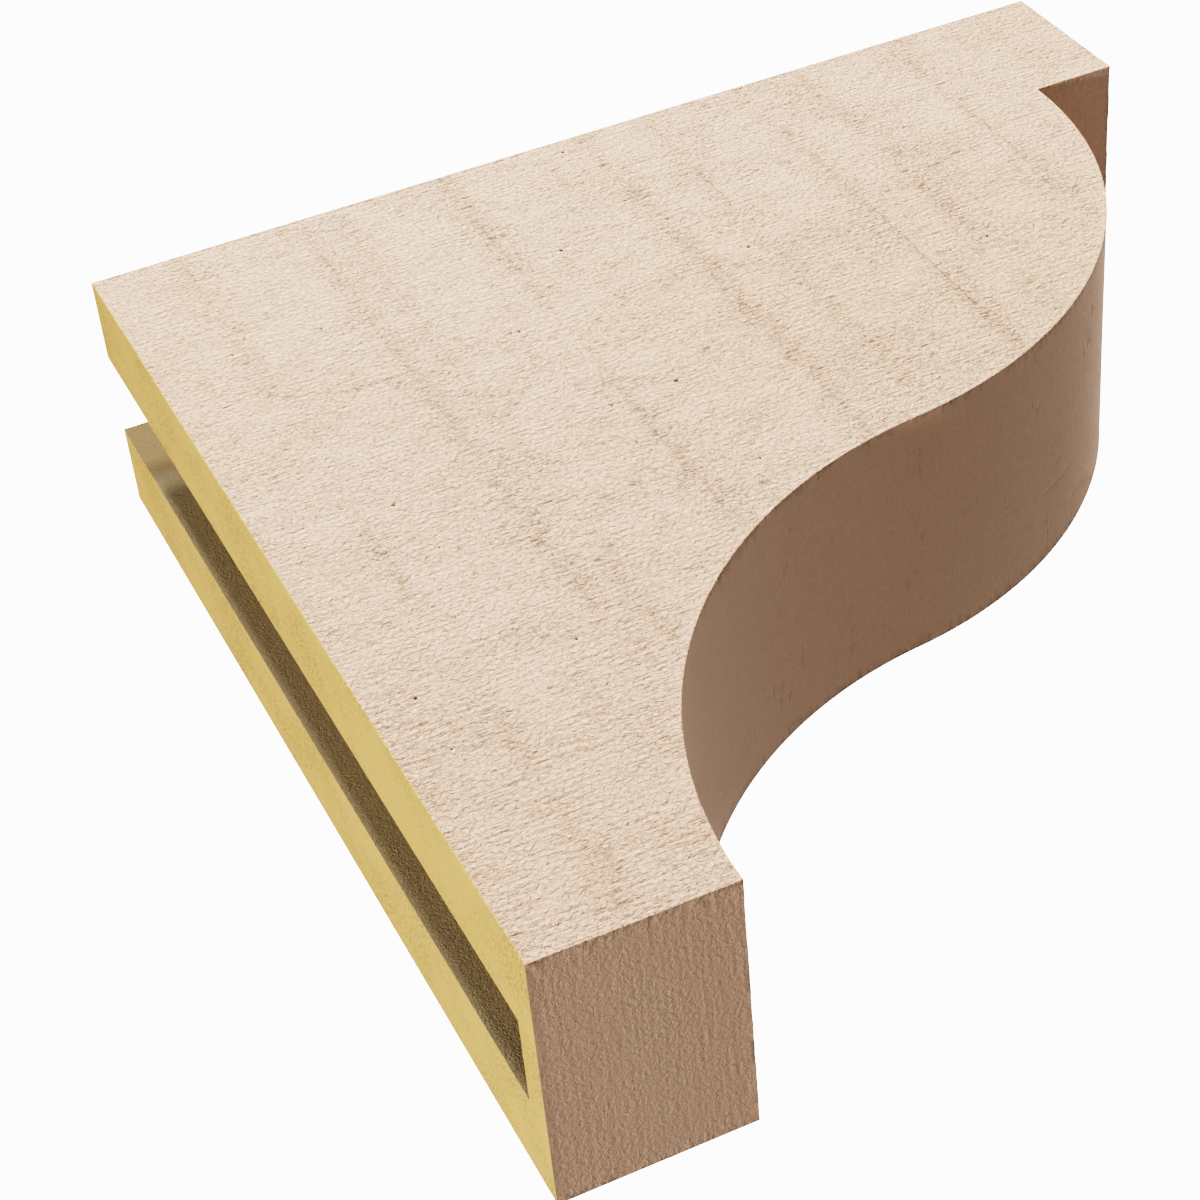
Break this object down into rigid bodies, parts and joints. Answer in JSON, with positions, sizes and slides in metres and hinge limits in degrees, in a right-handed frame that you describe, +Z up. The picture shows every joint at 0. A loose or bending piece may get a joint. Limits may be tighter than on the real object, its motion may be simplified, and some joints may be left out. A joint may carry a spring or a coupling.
{
  "type": "corbel",
  "caption": "Deep, plain ogee corbel moulded in rigid foam as rough-sawn timber, with a square block under the load and a mounting channel down its back.",
  "frame": {"origin": "on the back face that meets the wall, centred across the width, at the middle of the 19.05 mm high strip of back below the channel", "axes": "+Z up as the corbel is fixed, +Y out of the back face into the wall, so the corbel projects towards -Y, +X across its width"},
  "size_m": [0.1524, 0.6096, 0.6096],
  "materials": {
    "primed_foam": "flat tan primer over a moulded rough-sawn grain",
    "bare_foam": "bare yellow polyurethane, on the back and in the channel"
  },
  "bodies": {
    "root": {"corbel": "primed_foam"}
  },
  "joints": []
}
